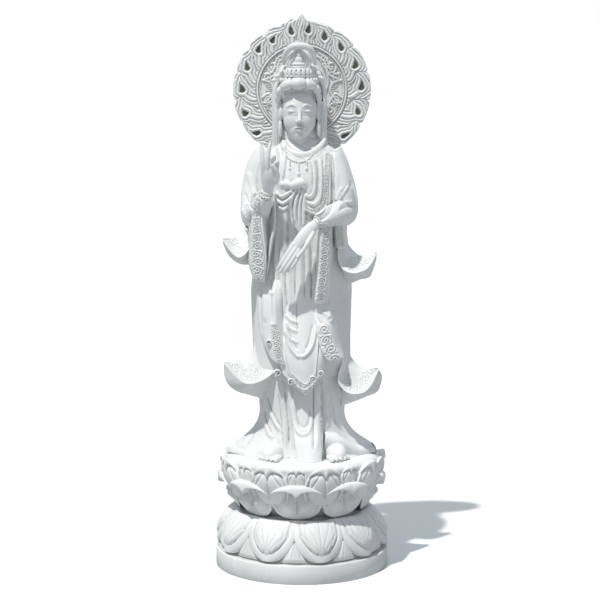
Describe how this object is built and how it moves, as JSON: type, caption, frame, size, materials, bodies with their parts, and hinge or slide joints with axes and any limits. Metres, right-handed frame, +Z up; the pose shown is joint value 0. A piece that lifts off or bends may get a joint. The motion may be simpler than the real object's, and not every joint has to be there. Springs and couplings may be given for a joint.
{
  "type": "guanyin statue",
  "caption": "Standing Guanyin in white marble on a double lotus pedestal, one hand raised and one lowered, with a carved flame halo behind the head.",
  "frame": {"origin": "middle of the round plinth's flat underside", "axes": "+Z up, the figure faces -Y, its raised right hand is towards -X, metres"},
  "size_m": [0.6303, 0.63, 1.9972],
  "materials": {
    "figure_marble": "honed white marble, matt in the hollows",
    "halo_marble": "tooled white marble",
    "lotus_marble": "honed white marble, slightly weathered"
  },
  "bodies": {
    "root": {"figure": "figure_marble", "halo": "halo_marble", "lotus_seat": "lotus_marble", "lotus_base": "lotus_marble"}
  },
  "joints": []
}
